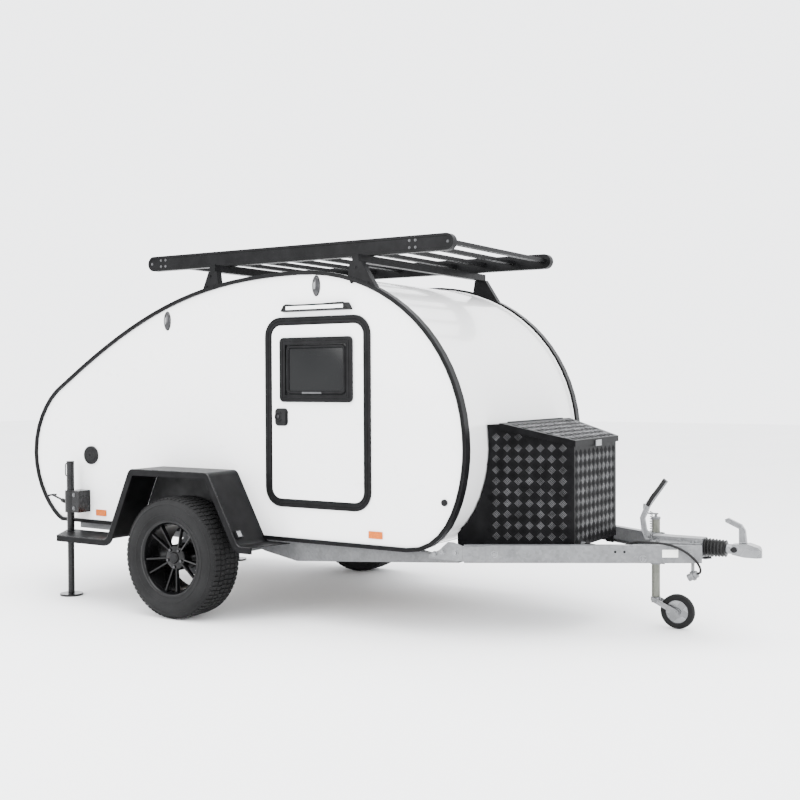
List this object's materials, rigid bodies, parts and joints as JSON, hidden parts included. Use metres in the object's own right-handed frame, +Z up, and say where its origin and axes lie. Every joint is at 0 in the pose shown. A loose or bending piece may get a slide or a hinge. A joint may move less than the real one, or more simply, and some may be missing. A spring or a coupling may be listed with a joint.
{
  "type": "teardrop camping trailer",
  "caption": "Single-axle teardrop camping trailer with side doors, rear galley hatch, roof rack, drawbar toolbox, jockey wheel and steadies.",
  "frame": {"origin": "on the ground, on the centre plane, midway between the tail and the tip of the coupling", "axes": "+X forward to the hitch, +Y to the left, +Z up"},
  "size_m": [4.815, 2.26, 2.262],
  "materials": {
    "galvanised": "spangled zinc",
    "dull_galvanised": "dull zinc",
    "arm_steel": "painted casting",
    "floor_board": "sealed plywood",
    "inner_board": "light laminate",
    "worktop": "oiled plywood",
    "white_panel": "smooth white gelcoat",
    "front_skin": "glossy white sheet",
    "edge_trim": "satin black extrusion",
    "door_trim": "satin black",
    "black_plastic": "fine grain",
    "window_glass": "dark tinted acrylic",
    "red_lens": "ribbed red lens",
    "blank_plate": "plain plate",
    "clear_lens": "clear lens",
    "lamp_chrome": "chromed bezel",
    "amber_lens": "amber prisms",
    "lamp_body": "black with pale strip",
    "black_sheet": "fine textured powder coat",
    "black_tube": "gloss powder coat",
    "tread_plate": "black chequer plate",
    "rack_black": "black powder coat",
    "bellows_rubber": "moulded",
    "bright_steel": "bright zinc",
    "lead_sheath": "matt sheath",
    "tyre": "all-terrain tread",
    "rim_black": "gloss black alloy"
  },
  "bodies": {
    "trailer": {"drawbar_rails": "galvanised", "side_members": "dull_galvanised", "cross_members": "galvanised", "splice_plates": "galvanised", "axle_tube": "dull_galvanised", "swing_arms": "arm_steel", "floor_panel": "floor_board", "side_walls": "white_panel", "edge_trims": "edge_trim", "roof_and_front_skin": "front_skin", "galley_bulkhead": "inner_board", "galley_worktop": "worktop", "galley_dividers": "inner_board", "rear_valance": "white_panel", "rear_lamps": "red_lens", "number_plate": "blank_plate", "door_frames": "door_trim", "fenders": "black_sheet", "fender_lamps": "clear_lens", "side_lamps": "lamp_chrome", "side_reflectors": "amber_lens", "awning_lamps": "lamp_body", "service_caps": "black_plastic", "steady_clamps": "black_tube", "box_body": "tread_plate", "rack_rails": "rack_black", "rack_slats": "rack_black", "rack_feet": "rack_black", "overrun_housing": "galvanised", "bellows": "bellows_rubber", "coupling_head": "bright_steel", "coupling_handle": "bright_steel", "handbrake_lever": "bright_steel", "jockey_clamp": "galvanised", "plug_holder": "galvanised", "electric_lead": "lead_sheath"},
    "hatch": {"rear_hatch": "white_panel"},
    "right_door": {"right_door": "white_panel", "right_window_frame": "door_trim", "right_window_glass": "window_glass"},
    "left_door": {"left_door": "white_panel", "left_window_frame": "door_trim", "left_window_glass": "window_glass"},
    "right_wheel": {"right_tyre": "tyre", "right_rim": "rim_black"},
    "left_wheel": {"left_tyre": "tyre", "left_rim": "rim_black"},
    "right_steady": {"right_steady_leg": "black_tube"},
    "left_steady": {"left_steady_leg": "black_tube"},
    "box_lid": {"box_lid": "tread_plate"},
    "jockey_tube": {"jockey_tube": "galvanised"},
    "jockey_fork": {"jockey_fork": "galvanised"},
    "jockey_wheel": {"jockey_wheel": "tyre"}
  },
  "joints": [
    {"name": "right_wheel_spin", "type": "hinge", "parent": "trailer", "child": "right_wheel", "pos_m": [-0.8325, -1, 0.3685], "axis": [0, 1, 0], "continuous": true},
    {"name": "left_wheel_spin", "type": "hinge", "parent": "trailer", "child": "left_wheel", "pos_m": [-0.8325, 1, 0.3685], "axis": [0, 1, 0], "continuous": true},
    {"name": "right_door_hinge", "type": "hinge", "parent": "trailer", "child": "right_door", "pos_m": [0.364, -0.792, 1.253], "axis": [0, 0, 1], "range_deg": [0, 120]},
    {"name": "left_door_hinge", "type": "hinge", "parent": "trailer", "child": "left_door", "pos_m": [0.364, 0.792, 1.253], "axis": [0, 0, -1], "range_deg": [0, 120]},
    {"name": "hatch_hinge", "type": "hinge", "parent": "trailer", "child": "hatch", "pos_m": [-1.4555, 0, 1.796], "axis": [0, 1, 0], "range_deg": [0, 80]},
    {"name": "box_lid_hinge", "type": "hinge", "parent": "trailer", "child": "box_lid", "pos_m": [1.0825, 0, 1.199], "axis": [0, -1, 0], "range_deg": [0, 90]},
    {"name": "right_steady_slide", "type": "slide", "parent": "trailer", "child": "right_steady", "axis": [0, 0, 1], "range_m": [0, 0.25]},
    {"name": "left_steady_slide", "type": "slide", "parent": "trailer", "child": "left_steady", "axis": [0, 0, 1], "range_m": [0, 0.25]},
    {"name": "jockey_slide", "type": "slide", "parent": "trailer", "child": "jockey_tube", "axis": [0, 0, 1], "range_m": [0, 0.18]},
    {"name": "jockey_swivel", "type": "hinge", "parent": "jockey_tube", "child": "jockey_fork", "pos_m": [1.7475, 0.205, 0.16], "axis": [0, 0, 1], "continuous": true},
    {"name": "jockey_wheel_spin", "type": "hinge", "parent": "jockey_fork", "child": "jockey_wheel", "pos_m": [1.8775, 0.205, 0.1], "axis": [0, 1, 0], "continuous": true}
  ]
}
